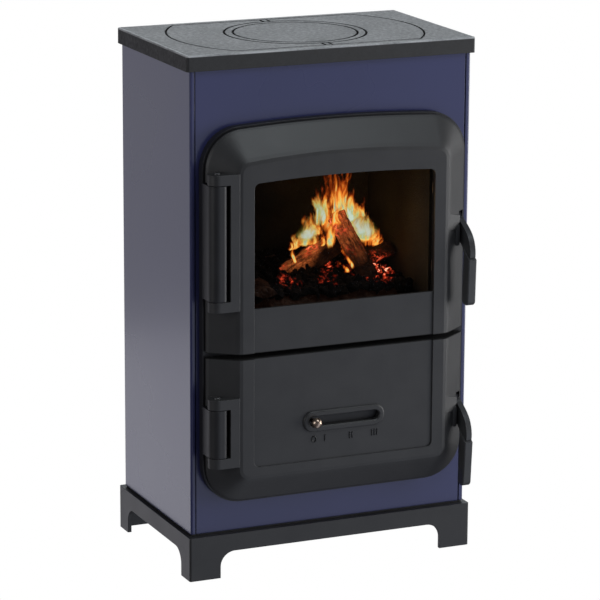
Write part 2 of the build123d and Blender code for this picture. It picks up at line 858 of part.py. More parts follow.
clip_inner = glass_half_width - clip_reach
clip_outer = clip_boss_x + clip_boss_radius
with BuildPart() as glass_clips:
    with BuildSketch(front(glass_back)):
        with Locations((0, window_middle)):
            with GridLocations(clip_inner + clip_outer, clip_spacing, 2, 2):
                Rectangle(clip_outer - clip_inner, clip_width)
            with GridLocations(2 * clip_boss_x, clip_spacing, 2, 2):
                Circle(clip_screw_radius, mode=Mode.SUBTRACT)
    extrude(amount=-clip_thickness)
glass_clips.part.label = "glass_clips"
export_step(glass_clips.part, "parts/glass_clips.step")

with BuildPart() as glass_screws:
    with BuildSketch(front(glass_back - clip_thickness)):
        with Locations((0, window_middle)):
            with GridLocations(2 * clip_boss_x, clip_spacing, 2, 2):
                Circle(clip_screw_radius)
    extrude(amount=clip_screw_length + clip_thickness)
    with BuildSketch(front(glass_back - clip_thickness)):
        with Locations((0, window_middle)):
            with GridLocations(2 * clip_boss_x, clip_spacing, 2, 2):
                Circle(clip_screw_head_radius)
    extrude(amount=-clip_screw_head)
    chamfer(glass_screws.edges().group_by(Axis.Y)[-1], length=clip_screw_head / 3)
glass_screws.part.label = "glass_screws"
export_step(glass_screws.part, "parts/glass_screws.step")

# ---------------------------------------------------------------- door handles


def handle_grip(side_view):
    """Rounded grip of a door handle, seen in the lever's own side view."""
    with BuildPart(mode=Mode.PRIVATE) as bar:
        with BuildSketch(side_view) as outline:
            with BuildLine():
                Polyline(
                    (grip_back, -grip_top),
                    (grip_back + grip_depth, -grip_top - grip_slope),
                    (grip_back + grip_depth, -grip_top - grip_length),
                    (grip_back, -grip_top - grip_length),
                    (grip_back, -grip_top),
                )
            make_face()
            fillet(outline.vertices().group_by(Axis.Y)[0], radius=grip_end_radius)
        extrude(amount=grip_width / 2, both=True)
        sides = bar.faces().filter_by(Axis.X)
        fillet(sides.edges(), radius=grip_radius)
    return bar.part


for name, pivot_z, lean in (
    ("upper_handle", upper_pivot_z, upper_lean),
    ("lower_handle", lower_pivot_z, lower_lean),
):
    # seen from the right: first axis forward, second axis up, turned in by the lean
    side_view = Plane(
        (handle_x, pivot_y, pivot_z),
        x_dir=(0, -cos(radians(lean)), -sin(radians(lean))),
        z_dir=(-1, 0, 0),
    )
    with BuildPart() as lever:
        with BuildSketch(side_view):
            Circle(lever_hub_radius)
            with BuildLine():
                Spline((0, lever_hub_radius), *arm_front)
                Polyline(
                    arm_front[-1],
                    (grip_back + grip_depth / 2, -grip_top - 2 * grip_slope),
                    (grip_back, -grip_top - grip_slope),
                    *arm_rear,
                    (-lever_hub_radius / 2, -lever_hub_radius / 2),
                    (0, lever_hub_radius),
                )
            make_face()
            # heel under the keeper's nose
            with Locations((-heel_length / 2, 0)):
                Rectangle(heel_length, 2 * heel_half_height)
            Circle(pivot_radius + pivot_clearance, mode=Mode.SUBTRACT)
        extrude(amount=lever_thickness / 2, both=True)
        add(handle_grip(side_view))
    lever.part.label = name
    export_step(lever.part, f"parts/{name}.step")

for name, pivot_z in (("upper_handle_pivot", upper_pivot_z), ("lower_handle_pivot", lower_pivot_z)):
    outer = handle_x + lever_thickness / 2 + touch_gap
    with BuildPart() as pivot:
        with BuildSketch(Plane.YZ.offset(outer)):
            with Locations((pivot_y, pivot_z)):
                Circle(pivot_radius)
        extrude(amount=-(outer - lever_inner + touch_gap + pivot_depth))
        with BuildSketch(Plane.YZ.offset(outer)):
            with Locations((pivot_y, pivot_z)):
                Circle(pivot_head_radius)
        extrude(amount=pivot_head)
        chamfer(pivot.edges().group_by(Axis.X)[-1], length=pivot_head / 3)
    pivot.part.label = name
    export_step(pivot.part, f"parts/{name}.step")

with BuildPart() as latch_keepers:
    for pivot_z in (upper_pivot_z, lower_pivot_z):
        with BuildSketch(front(frame_front)):
            with Locations((handle_x, pivot_z)):
                Rectangle(grip_width, 2 * keeper_half_height)
        extrude(amount=keeper_thickness)
        with BuildSketch(front(frame_front + keeper_thickness)):
            with Locations((handle_x, pivot_z + keeper_nose_low + keeper_nose_height / 2)):
                Rectangle(lever_thickness, keeper_nose_height)
        extrude(amount=keeper_nose_length)
latch_keepers.part.label = "latch_keepers"
export_step(latch_keepers.part, "parts/latch_keepers.step")

# ---------------------------------------------------------------- air slider

slot_clear = slot_length / 2 + slider_margin
with BuildPart() as air_slider:
    with BuildSketch(front(wall_back - touch_gap)):
        with Locations((-slider_travel / 2, rim_z)):
            Rectangle(2 * slot_clear + slider_travel, slider_height)
        # air holes that come to the slot as the plate slides
        with Locations((slider_start - hole_pitch, rim_z)):
            with GridLocations(hole_pitch, hole_pitch, air_holes, 1):
                Circle(air_hole_radius, mode=Mode.SUBTRACT)
    extrude(amount=-slider_sheet)
air_slider.part.label = "air_slider"
export_step(air_slider.part, "parts/air_slider.step")

stem_length = recess_depth + face_wall + rim_proud + knob_stand_off + touch_gap
with BuildPart() as slider_knob:
    with BuildSketch(front(wall_back - touch_gap)):
        with Locations((slider_start, rim_z)):
            Circle(knob_stem_radius)
    extrude(amount=stem_length)
    with Locations((slider_start, -wall_back + touch_gap - stem_length, rim_z)):
        Sphere(knob_radius)
slider_knob.part.label = "slider_knob"
export_step(slider_knob.part, "parts/slider_knob.step")

rail_spacer = slider_sheet + 2 * touch_gap
with BuildPart() as slider_rails:
    for side in (-1, 1):
        edge = slider_height / 2 + rail_gap
        with BuildSketch(front(wall_back)):
            with Locations((0, rim_z + side * (edge + (rail_height - rail_overlap) / 2))):
                Rectangle(rail_length, rail_height - rail_overlap)
        extrude(amount=-rail_spacer)
        with BuildSketch(front(wall_back - rail_spacer)):
            with Locations((0, rim_z + side * (edge - rail_overlap + rail_height / 2))):
                Rectangle(rail_length, rail_height)
        extrude(amount=-rail_lip_thickness)
    with BuildSketch(front(wall_back)):
        with Locations((0, rim_z)):
            with GridLocations(rail_screw_spacing, 2 * rail_middle, 2, 2):
                Circle(rail_screw_radius)
    extrude(amount=-(rail_spacer + rail_lip_thickness), mode=Mode.SUBTRACT)
slider_rails.part.label = "slider_rails"
export_step(slider_rails.part, "parts/slider_rails.step")

rail_back = wall_back - rail_spacer - rail_lip_thickness
with BuildPart() as rail_screws:
    with BuildSketch(front(rail_back)):
        with Locations((0, rim_z)):
            with GridLocations(rail_screw_spacing, 2 * rail_middle, 2, 2):
                Circle(rail_screw_radius)
    extrude(amount=rail_spacer + rail_lip_thickness + rail_screw_depth)
    with BuildSketch(front(rail_back)):
        with Locations((0, rim_z)):
            with GridLocations(rail_screw_spacing, 2 * rail_middle, 2, 2):
                Circle(rail_screw_head_radius)
    extrude(amount=-rail_screw_head)
rail_screws.part.label = "rail_screws"
export_step(rail_screws.part, "parts/rail_screws.step")

# ---------------------------------------------------------------- firebox

shell_front_y = -(frame_front - sleeve_length) - shell_wall / 2
shell_front_outer = shell_front_y - shell_wall / 2
shell_middle = (shell_front_outer + shell_back_y) / 2
shell_height = stove_height - plate_skin - base_top

for name, side in (("shell_left", -1), ("shell_right", 1)):
    with BuildPart() as shell_side:
        with BuildSketch(level(base_top)):
            with Locations((side * (shell_half_width - shell_wall / 2), shell_middle)):
                Rectangle(shell_wall, shell_back_y - shell_front_outer)
        extrude(amount=shell_height)
    shell_side.part.label = name
    export_step(shell_side.part, f"parts/{name}.step")

with BuildPart() as shell_back:
    with BuildSketch(Plane.XZ.offset(-shell_back_y)):
        with Locations((0, base_top + shell_height / 2)):
            Rectangle(2 * shell_inner, shell_height)
        with Locations((0, flue_z)):
            Circle(flue_radius - flue_wall, mode=Mode.SUBTRACT)
        with Locations((0, flue_z)):
            with PolarLocations(flue_screw_circle, 4, start_angle=45):
                Circle(flue_screw_radius, mode=Mode.SUBTRACT)
    extrude(amount=shell_wall)
shell_back.part.label = "shell_back"
export_step(shell_back.part, "parts/shell_back.step")

with BuildPart() as shell_front:
    with BuildSketch(front(-shell_front_outer)):
        with Locations((0, base_top + shell_height / 2)):
            Rectangle(2 * shell_inner, shell_height)
        for low, high in openings:
            add(opening_outline(low, high, sleeve_wall), mode=Mode.SUBTRACT)
    extrude(amount=-shell_wall)
shell_front.part.label = "shell_front"
export_step(shell_front.part, "parts/shell_front.step")

inner_front_y = shell_front_outer + shell_wall
inner_back_y = shell_back_y - shell_wall
inner_depth = inner_back_y - inner_front_y
inner_middle = (inner_back_y + inner_front_y) / 2
with BuildPart() as shell_floor:
    with BuildSketch(level(shell_bottom)):
        with Locations((0, inner_middle)):
            Rectangle(2 * shell_inner, inner_depth)
    extrude(amount=shell_wall)
shell_floor.part.label = "shell_floor"
export_step(shell_floor.part, "parts/shell_floor.step")

shelf_top = shelf_z + shell_wall
with BuildPart() as grate_shelf:
    with BuildSketch(level(shelf_z)):
        with Locations((0, inner_middle)):
            Rectangle(2 * shell_inner, inner_depth)
        with Locations((0, shelf_opening_shift)):
            Rectangle(shelf_opening_x, shelf_opening_y, mode=Mode.SUBTRACT)
    extrude(amount=shell_wall)
grate_shelf.part.label = "grate_shelf"
export_step(grate_shelf.part, "parts/grate_shelf.step")

# the grate hangs in the shelf's opening by a lip all round
with BuildPart() as grate:
    with BuildSketch(level(shelf_top)):
        with Locations((0, shelf_opening_shift)):
            Rectangle(shelf_opening_x + 2 * grate_lip, shelf_opening_y + 2 * grate_lip)
    extrude(amount=grate_thickness / 2)
    with BuildSketch(level(shelf_top)):
        with Locations((0, shelf_opening_shift)):
            Rectangle(shelf_opening_x - 2 * touch_gap, shelf_opening_y - 2 * touch_gap)
    extrude(amount=-grate_thickness / 2)
    slot_count = int(shelf_opening_x / grate_bar_pitch) - 1
    with BuildSketch(level(shelf_top + grate_thickness / 2)):
        with Locations((0, shelf_opening_shift)):
            with GridLocations(grate_bar_pitch, 1, slot_count, 1):
                SlotOverall(shelf_opening_y - 2 * grate_lip, grate_slot, rotation=90)
    extrude(amount=-grate_thickness, mode=Mode.SUBTRACT)
grate.part.label = "grate"
export_step(grate.part, "parts/grate.step")

brick_front_y = inner_front_y + brick_gap
for name, side in (("firebrick_left", -1), ("firebrick_right", 1)):
    with BuildPart() as side_brick:
        with BuildSketch(level(shelf_top)):
            with Locations((side * (shell_inner - brick_thickness / 2), (brick_front_y + inner_back_y) / 2)):
                Rectangle(brick_thickness, inner_back_y - brick_front_y)
        extrude(amount=brick_top - shelf_top)
    side_brick.part.label = name
    export_step(side_brick.part, f"parts/{name}.step")

brick_inner = shell_inner - brick_thickness
with BuildPart() as firebrick_back:
    with BuildSketch(level(shelf_top)):
        with Locations((0, inner_back_y - brick_thickness / 2)):
            Rectangle(2 * (brick_inner - brick_gap), brick_thickness)
    extrude(amount=brick_top - shelf_top)
firebrick_back.part.label = "firebrick_back"
export_step(firebrick_back.part, "parts/firebrick_back.step")

with BuildPart() as baffle:
    with BuildSketch(level(brick_top)):
        with Locations((0, (baffle_front + inner_back_y) / 2)):
            Rectangle(2 * (shell_inner - brick_gap), inner_back_y - baffle_front)
    extrude(amount=baffle_thickness)
    chamfer(baffle.edges().group_by(Axis.Y)[0].filter_by(Axis.X), length=baffle_thickness / 5)
baffle.part.label = "baffle"
export_step(baffle.part, "parts/baffle.step")

with BuildPart() as log_guard:
    with BuildSketch(Plane.YZ):
        with Locations((brick_front_y + guard_thickness / 2, shelf_top + guard_height / 2)):
            Rectangle(guard_thickness, guard_height)
        with Locations((brick_front_y + guard_foot / 2, shelf_top + guard_thickness / 4)):
            Rectangle(guard_foot, guard_thickness / 2)
    extrude(amount=brick_inner - brick_gap, both=True)
    fillet(log_guard.edges().group_by(Axis.Z)[-1].filter_by(Axis.X), radius=guard_thickness / 3)
log_guard.part.label = "log_guard"
export_step(log_guard.part, "parts/log_guard.step")

# ---------------------------------------------------------------- ash pan

pan_low = shell_bottom + shell_wall
with BuildPart() as ash_pan:
    with BuildSketch(level(pan_low)):
        with Locations((0, (pan_front + pan_back) / 2)):
            RectangleRounded(2 * pan_half_width, pan_back - pan_front, pan_corner)
    extrude(amount=pan_height)
    with BuildSketch(level(pan_low + pan_sheet)):
        with Locations((0, (pan_front + pan_back) / 2)):
            RectangleRounded(
                2 * (pan_half_width - pan_sheet), pan_back - pan_front - 2 * pan_sheet, pan_corner - pan_sheet
            )
    extrude(amount=pan_height, mode=Mode.SUBTRACT)
    # bent strap handle at the front
    with BuildSketch(level(pan_low + pan_height / 2)):
        with Locations((0, pan_front - pan_handle_reach / 2)):
            Rectangle(pan_handle_width, pan_handle_reach)
            with Locations((0, pan_sheet)):
                Rectangle(pan_handle_width - 2 * pan_sheet, pan_handle_reach, mode=Mode.SUBTRACT)
    extrude(amount=pan_handle_height)
ash_pan.part.label = "ash_pan"
export_step(ash_pan.part, "parts/ash_pan.step")

# ---------------------------------------------------------------- flue collar

with BuildPart() as flue_collar:
    with BuildSketch(Plane.XZ.offset(-shell_back_y)):
        with Locations((0, flue_z)):
            Circle(flue_flange_radius)
    extrude(amount=-flue_flange)
    with BuildSketch(Plane.XZ.offset(-shell_back_y)):
        with Locations((0, flue_z)):
            Circle(flue_radius)
    extrude(amount=-(flue_end - shell_back_y))
    with BuildSketch(Plane.XZ.offset(-shell_back_y)):
        with Locations((0, flue_z)):
            Circle(flue_radius - flue_wall)
            with PolarLocations(flue_screw_circle, 4, start_angle=45):
                Circle(flue_screw_radius)
    extrude(amount=-(flue_end - shell_back_y), mode=Mode.SUBTRACT)
flue_collar.part.label = "flue_collar"
export_step(flue_collar.part, "parts/flue_collar.step")

with BuildPart() as flue_screws:
    screw_face = shell_back_y + flue_flange
    with BuildSketch(Plane.XZ.offset(-screw_face)):
        with Locations((0, flue_z)):
            with PolarLocations(flue_screw_circle, 4, start_angle=45):
                Circle(flue_screw_radius)
    extrude(amount=flue_flange + shell_wall)
    with BuildSketch(Plane.XZ.offset(-screw_face)):
        with Locations((0, flue_z)):
            with PolarLocations(flue_screw_circle, 4, start_angle=45):
                RegularPolygon(flue_screw_head_radius, 6)
    extrude(amount=-flue_screw_head)
flue_screws.part.label = "flue_screws"
export_step(flue_screws.part, "parts/flue_screws.step")

# ---------------------------------------------------------------- firewood

with BuildPart() as firewood:
    for x, y, z, bearing, lean, turn, length, radius, wedge in logs:
        # its length runs along the bearing, its bark lies to the side the turn gives
        along = (
            cos(radians(lean)) * cos(radians(bearing)),
            cos(radians(lean)) * sin(radians(bearing)),
            sin(radians(lean)),
        )
        out, up = cos(radians(turn)), sin(radians(turn))
        bark = (
            -sin(radians(bearing)) * out - along[2] * cos(radians(bearing)) * up,
            cos(radians(bearing)) * out - along[2] * sin(radians(bearing)) * up,
            cos(radians(lean)) * up,
        )
        heart = Plane((x, y, z), x_dir=bark, z_dir=along)
        near = (radius * cos(radians(wedge / 2)), radius * sin(radians(wedge / 2)))
        far = (near[0], -near[1])
        with BuildSketch(heart.offset(-length / 2)):
            with BuildLine():
                Polyline(near, (0, 0), far)
                ThreePointArc(far, (radius, 0), near)
            make_face()
        extrude(amount=length)
firewood.part.label = "firewood"
export_step(firewood.part, "parts/firewood.step")
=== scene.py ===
from math import cos, radians, sin, tau
import bmesh
import bpy
from mathutils import Matrix, Vector, noise


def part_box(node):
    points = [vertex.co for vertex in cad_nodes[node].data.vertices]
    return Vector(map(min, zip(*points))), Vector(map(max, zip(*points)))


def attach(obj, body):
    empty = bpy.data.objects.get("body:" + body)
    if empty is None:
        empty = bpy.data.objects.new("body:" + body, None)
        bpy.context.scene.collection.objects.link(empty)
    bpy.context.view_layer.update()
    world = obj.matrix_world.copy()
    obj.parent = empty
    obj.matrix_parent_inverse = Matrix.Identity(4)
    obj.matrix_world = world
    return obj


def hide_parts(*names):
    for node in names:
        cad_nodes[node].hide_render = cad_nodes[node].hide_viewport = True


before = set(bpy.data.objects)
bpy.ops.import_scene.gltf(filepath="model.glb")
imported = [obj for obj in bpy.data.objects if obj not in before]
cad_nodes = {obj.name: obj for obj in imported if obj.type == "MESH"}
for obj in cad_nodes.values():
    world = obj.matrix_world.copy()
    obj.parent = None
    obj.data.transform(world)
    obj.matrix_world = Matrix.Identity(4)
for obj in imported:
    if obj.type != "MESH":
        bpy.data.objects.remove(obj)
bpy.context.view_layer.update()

# ---- Studio
# White all round as in a cut-out, seen from the front left and a little from above through a long lens.
# A dim room light, and soft boxes at the right, in front, above, under and behind, near the left and low
# behind the left side.

azimuth, elevation, roll = radians(-23.91), radians(13.95), radians(0.32)
towards_viewer = Vector((sin(azimuth) * cos(elevation), -cos(azimuth) * cos(elevation), sin(elevation)))
level_right = Vector((cos(azimuth), sin(azimuth), 0))
level_up = towards_viewer.cross(level_right)
axes = (
    level_right * cos(roll) + level_up * sin(roll),
    level_up * cos(roll) - level_right * sin(roll),
    towards_viewer,
)
lens = bpy.data.cameras.new("viewpoint")
lens.lens = 193.2
lens.sensor_width = 36
lens.clip_end = 60
stand = Matrix.Translation((-1.95, -4.422, 1.582))
viewpoint = bpy.data.objects.new("viewpoint", lens)
viewpoint.matrix_world = stand @ Matrix(axes).transposed().to_4x4()
bpy.context.collection.objects.link(viewpoint)
bpy.context.scene.camera = viewpoint
bpy.context.scene.view_settings.view_transform = "Standard"

room = bpy.data.worlds.new("room")
room.use_nodes = True
seen = room.node_tree.nodes.new("ShaderNodeLightPath")
sky = room.node_tree.nodes.new("ShaderNodeMix")
sky.data_type = "RGBA"
light_given, shown = sky.inputs[6], sky.inputs[7]
light_given.default_value = (0.085, 0.085, 0.095, 1)
shown.default_value = (1, 1, 1, 1)
room.node_tree.links.new(seen.outputs["Is Camera Ray"], sky.inputs[0])
room.node_tree.links.new(sky.outputs[2], room.node_tree.nodes["Background"].inputs["Color"])
bpy.context.scene.world = room


def soft_box(name, place, aim, size, power, tint=(1, 1, 1)):
    """Square area light at a place, turned to a point."""
    light = bpy.data.lights.new(name, "AREA")
    light.size = size
    light.energy = power
    light.color = tint
    holder = bpy.data.objects.new(name, light)
    direction = Vector(aim) - Vector(place)
    holder.location = place
    holder.rotation_euler = direction.to_track_quat("-Z", "Y").to_euler()
    holder.visible_camera = False
    bpy.context.collection.objects.link(holder)


soft_box("box_right", (2.62, -1.15, 0.5), (0, 0, 0.4), 1.8, 48)
soft_box("box_over", (0.5, -1.3, 2.7), (0, 0, 0.5), 1.2, 18, (0.92, 1.0, 1.04))
soft_box("box_behind", (1.2, 3.6, 2.2), (0, 0, 0.7), 3.0, 33, (0.94, 1.0, 1.04))
soft_box("box_front", (1.3, -2.7, -0.9), (0, 0, 0.4), 3.0, 15.5, (0.93, 1.0, 1.15))
soft_box("box_under", (0.3, -0.7, -1.5), (0, -0.15, 0.3), 1.2, 2.2, (0.94, 1.0, 1.12))
soft_box("box_left", (-1.9, 3.6, -1.1), (-0.2, 0, 0.4), 3.6, 18, (0.99, 0.98, 1.06))
soft_box("box_low", (-1.0, 1.6, -0.62), (-0.2, 0, 0.1), 1.0, 1.55, (0.99, 0.98, 1.06))
soft_box("box_near", (-3.0, -0.8, 1.0), (0, 0, 0.4), 1.5, 16)

# ---- Base
# Grey iron frame with four corner feet and arches between them, sand cast and painted stove black;
# the steel plate that lies on it carries the body.


class Wire:
    """A socket in a material that can be added, multiplied and so on like a number."""

    def __init__(self, tree, socket):
        self.tree = tree
        self.socket = socket

    def maths(self, operation, other=0.0, swapped=False):
        """One operation with a number or another wire, which comes first if swapped."""
        node = self.tree.nodes.new("ShaderNodeMath")
        node.operation = operation
        for slot, value in zip(node.inputs, (other, self) if swapped else (self, other)):
            if isinstance(value, Wire):
                self.tree.links.new(value.socket, slot)
            else:
                slot.default_value = value
        return Wire(self.tree, node.outputs[0])

    def __add__(self, other):
        return self.maths("ADD", other)

    def __sub__(self, other):
        return self.maths("SUBTRACT", other)

    def __rsub__(self, other):
        return self.maths("SUBTRACT", other, swapped=True)

    def __mul__(self, other):
        return self.maths("MULTIPLY", other)

    def __truediv__(self, other):
        return self.maths("DIVIDE", other)

    def __pow__(self, other):
        return self.maths("POWER", other)

    def __abs__(self):
        return self.maths("ABSOLUTE")

    __radd__ = __add__
    __rmul__ = __mul__

    def between(self, low, high):
        """0 below low, 1 above high, straight in between."""
        return ((self - low) * (1 / (high - low))).maths("MINIMUM", 1.0).maths("MAXIMUM", 0.0)

    def beside(self, output):
        """Another output of the same node."""
        return Wire(self.tree, self.socket.node.outputs[output])


class Finish:
    """A surface finish under construction: make() adds any node, body() ends it in the main shader."""

    def __init__(self, name):
        self.material = bpy.data.materials.new(name)
        self.material.use_nodes = True
        self.tree = self.material.node_tree
        self.tree.nodes.clear()
        self.where = self.make("TexCoord", output="Object")

    def make(self, kind, settings=None, sockets=None, output=0):
        """Adds a node and gives one of its outputs; the colours of a ramp are its stops."""
        node = self.tree.nodes.new("ShaderNode" + kind)
        for key, value in (settings or {}).items():
            if key == "stops":
                ramp = node.color_ramp.elements
                while len(ramp) < len(value):
                    ramp.new(1.0)
                for element, (place, colour) in zip(ramp, value):
                    element.position = place
                    element.color = (*colour, 1)
            else:
                setattr(node, key, value)
        for key, value in (sockets or {}).items():
            if isinstance(value, Wire):
                self.tree.links.new(value.socket, node.inputs[key])
            else:
                node.inputs[key].default_value = value
        return Wire(self.tree, node.outputs[output]) if node.outputs else None

    def split(self, vector):
        """The three parts of a vector, in the order of the axes."""
        first = self.make("SeparateXYZ", {}, {0: vector})
        return first, first.beside("Y"), first.beside("Z")

    def grain(self, scale, detail, stretch=None):
        """Noise at a number of features a metre, stretched along the axes if asked."""
        where = self.where
        if stretch:
            where = self.make("Mapping", {}, {"Vector": where, "Scale": stretch})
        return self.make("TexNoise", {}, {"Vector": where, "Scale": scale, "Detail": detail})

    def blend(self, factor, dark, light):
        """Colour between two, each a colour or a wire."""
        pair = [c if isinstance(c, Wire) else (*c, 1) for c in (dark, light)]
        return self.make("Mix", {"data_type": "RGBA"}, {0: factor, 6: pair[0], 7: pair[1]}, output=2)

    def relief(self, height, distance, strength, edge=None):
        """Normal with fine relief, and with edges rounded to a radius if one is given."""
        sockets = {"Height": height, "Distance": distance, "Strength": strength}
        if edge:
            sockets["Normal"] = self.make("Bevel", {"samples": 4}, {"Radius": edge})
        return self.make("Bump", {}, sockets)

    def worn_edges(self, radius):
        """1 on outer edges and corners, 0 on flat ground."""
        rounded = self.make("Bevel", {"samples": 4}, {"Radius": radius})
        true_face = self.make("NewGeometry", output="Normal")
        alike = self.make("VectorMath", {"operation": "DOT_PRODUCT"}, {0: rounded, 1: true_face}, "Value")
        return (1 - alike).between(0.02, 0.25)

    def body(self, **sockets):
        """Main shader, its sockets named in small letters with _ for a space."""
        names = {"specular_ior_level": "Specular IOR Level"}
        values = {names.get(k, k.replace("_", " ").title()): v for k, v in sockets.items()}
        for key, value in values.items():
            if isinstance(value, tuple):
                values[key] = (*value, 1)
        shader = self.make("BsdfPrincipled", {}, values)
        self.make("OutputMaterial", {}, {"Surface": shader})
        return self.material


def dress(finish, *names):
    """Gives the finish to CAD nodes, in the slots they have."""
    for name in names:
        for slot in cad_nodes[name].material_slots:
            slot.material = finish


def cast_iron(name, tint, roughness, grain=0.00010, edge=0.0010, painted_shade=None):
    """Painted sand casting: fine grain, soft mottling, edges a little lighter, partly wear from rubbing and
    partly painted highlight.

    The last argument, if given, is a function that gives, for the finish, where shade is painted near black.
    """
    f = Finish(name)
    skin = f.grain(850, 4)
    mottle = f.grain(22, 4)
    # Lighter edges: partly wear from rubbing, partly a painted highlight along every outer edge.
    edge_wear_and_highlight = f.worn_edges(edge * 1.6) * f.grain(90, 3).between(0.35, 0.7)
    ground = f.blend(mottle.between(0.3, 0.7), tuple(c * 0.86 for c in tint), tuple(c * 1.14 for c in tint))
    colour = f.blend(edge_wear_and_highlight * 0.45, ground, tuple(c * 1.9 + 0.01 for c in tint))
    gloss = roughness + 0.12 * (mottle - 0.5) - 0.08 * edge_wear_and_highlight
    # Painted shade: near-black colour, and rougher, where the given function says, standing in for shade in
    # gaps and hollows.
    if painted_shade is not None:
        shade_here = painted_shade(f)
        colour = f.blend(shade_here, colour, (0.003, 0.003, 0.003))
        gloss = gloss + 0.4 * shade_here
    return f.body(
        base_color=colour,
        roughness=gloss,
        specular_ior_level=0.5,
        normal=f.relief(skin + 0.5 * f.grain(300, 2), grain, 0.6, edge),
    )


dress(cast_iron("base_black", (0.031, 0.031, 0.032), 0.48, edge=0.0012), "base")
dress(cast_iron("plate_black", (0.024, 0.024, 0.025), 0.6), "base_plate")

# ---- Casing
# Two folded side panels and the front panel between them: sheet steel under deep blue vitreous enamel,
# glossy, a little uneven like orange peel, darker where the folds thin it.

enamel = Finish("blue_enamel")
peel = enamel.grain(260, 2)
cloud = enamel.grain(4, 3)
thin = enamel.worn_edges(0.002)
blue = enamel.blend(cloud.between(0.3, 0.7), (0.033, 0.038, 0.119), (0.040, 0.045, 0.140))
dress(
    enamel.body(
        base_color=enamel.blend(thin * 0.7, blue, (0.008, 0.008, 0.02)),
        roughness=0.24 + 0.08 * cloud,
        coat_weight=0.3,
        coat_roughness=0.16,
        normal=enamel.relief(peel + 0.6 * cloud, 0.00012, 0.5, 0.0012),
    ),
    "side_panel_left", "side_panel_right", "front_panel",
)

# ---- Back
# Galvanised sheet painted matte black, held to the side panels' flanges with pan-head screws;
# its slots let the warm air out. The ash pan has the same paint, and the stove's other screws the same black.

sheet_paint = Finish("back_paint")
spray = sheet_paint.grain(1200, 2)
dress(
    sheet_paint.body(
        base_color=sheet_paint.blend(sheet_paint.grain(9, 3), (0.022, 0.022, 0.023), (0.035, 0.035, 0.036)),
        roughness=0.62 + 0.1 * spray,
        normal=sheet_paint.relief(spray, 0.00006, 0.5, 0.0005),
    ),
    "rear_panel", "ash_pan",
)


def turned_steel(name, tint, roughness=0.35):
    """Bare or blackened steel with fine tool marks."""
    f = Finish(name)
    marks = f.grain(500, 2, (1, 1, 6))
    return f.body(
        base_color=f.blend(marks, tuple(c * 0.8 for c in tint), tint),
        metallic=0.9,
        roughness=roughness + 0.15 * marks,
        normal=f.relief(marks, 0.00004, 0.5, 0.0004),
    )


dress(
    turned_steel("black_screws", (0.12, 0.12, 0.12), 0.4),
    "rear_panel_screws", "glass_screws", "rail_screws", "flue_screws",
)

# ---- Hob
# Ground cast iron top plate; the insert, its ring and its lid lie loose in it, for cooking and for sweeping
# the flue. Blacked and oiled: shiny with use on top, rougher down the sides, with painted shade near black in
# the grooves, and a bright band on the rim that is partly wear from rubbing and partly painted highlight.

half_width, half_depth, plate_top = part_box("top_plate")[1]
rim_width, rim_drop, joint_depth = 0.0038, 0.0030, 0.0002
side_margin, end_margin = 0.006, 0.005
hob = Finish("hob_blacking")
pores = hob.grain(1100, 4)
speckle = hob.grain(280, 4)
blotches = hob.grain(150, 5)
wear = hob.grain(16, 5)
edges = hob.worn_edges(0.0030)
facing_up = hob.split(hob.make("NewGeometry", output="Normal"))[2].between(0.3, 0.8)
hob_across, hob_back, hob_up = hob.split(hob.where)
from_sides = half_width - abs(hob_across)
from_ends = half_depth - abs(hob_back)
below = plate_top - hob_up
inside = (from_sides - side_margin).between(0.0, 0.002) * (from_ends - end_margin).between(0.0, 0.002)
# Painted shade: near black in the grooves and along the edges within the rim, where shade falls.
painted_groove_shade = inside * (below - joint_depth).between(0.0, 0.0003).maths("MAXIMUM", edges * 0.9)
rim = (rim_width - from_sides.maths("MINIMUM", from_ends)).between(0.0, 0.0012)
# A bright band on top of the rim: partly wear from rubbing, partly painted highlight.
rim_top_band = rim * (rim_drop - below).between(0.0, 0.0012)
rim_wear_and_highlight = rim_top_band * (0.80 + 2.0 * (wear - 0.5) + 0.8 * (speckle - 0.5))
mottling = wear.between(0.35, 0.65) * 0.5 + speckle.between(0.3, 0.7) * 0.5
hob_top = hob.blend(mottling, (0.018, 0.021, 0.023), (0.060, 0.064, 0.067))
hob_ground = hob.blend(facing_up, (0.029, 0.029, 0.030), hob_top)
hob_with_rim_wear_and_highlight = hob.blend(rim_wear_and_highlight, hob_ground, (0.54, 0.55, 0.56))
unevenness = 0.16 * (wear - 0.5) + 0.30 * (speckle - 0.5) + 0.40 * (blotches - 0.5)
dress(
    hob.body(
        base_color=hob.blend(painted_groove_shade, hob_with_rim_wear_and_highlight, (0.003, 0.003, 0.003)),
        roughness=0.60 - 0.18 * facing_up + unevenness + 0.4 * painted_groove_shade,
        specular_ior_level=0.45,
        normal=hob.relief(pores + 1.2 * speckle, 0.00015, 0.6, 0.0010),
    ),
    "top_plate", "hob_insert", "hob_ring", "hob_lid",
)

# ---- Flue collar
# Cast spigot on a flange behind the firebox, screwed to it and painted black; the flue pipe goes over it.
# Its skin is rougher than that of the castings in front.

dress(cast_iron("collar_black", (0.024, 0.024, 0.025), 0.55, grain=0.00018), "flue_collar")

# ---- Door frame and keepers
# One casting behind the doors, painted stove black: two openings, a bar between them and the hinge barrels.
# The two keepers that the levers' heels pass under are fixed to its right side.

dress(cast_iron("frame_black", (0.016, 0.016, 0.018), 0.45), "door_frame", "latch_keepers")

# ---- Doors
# Two fine-grained castings in satin stove paint, with bevelled edges, hinge ears and a sunk panel.
# Each hangs on a pin at the left; the edges that face each other and the window's walls have painted shade,
# near black.

door_rounding = 0.0012
shade_fade = 0.0004
window_side, window_sill, window_head, window_depth = 0.008, 0.0084, 0.002, 0.0028


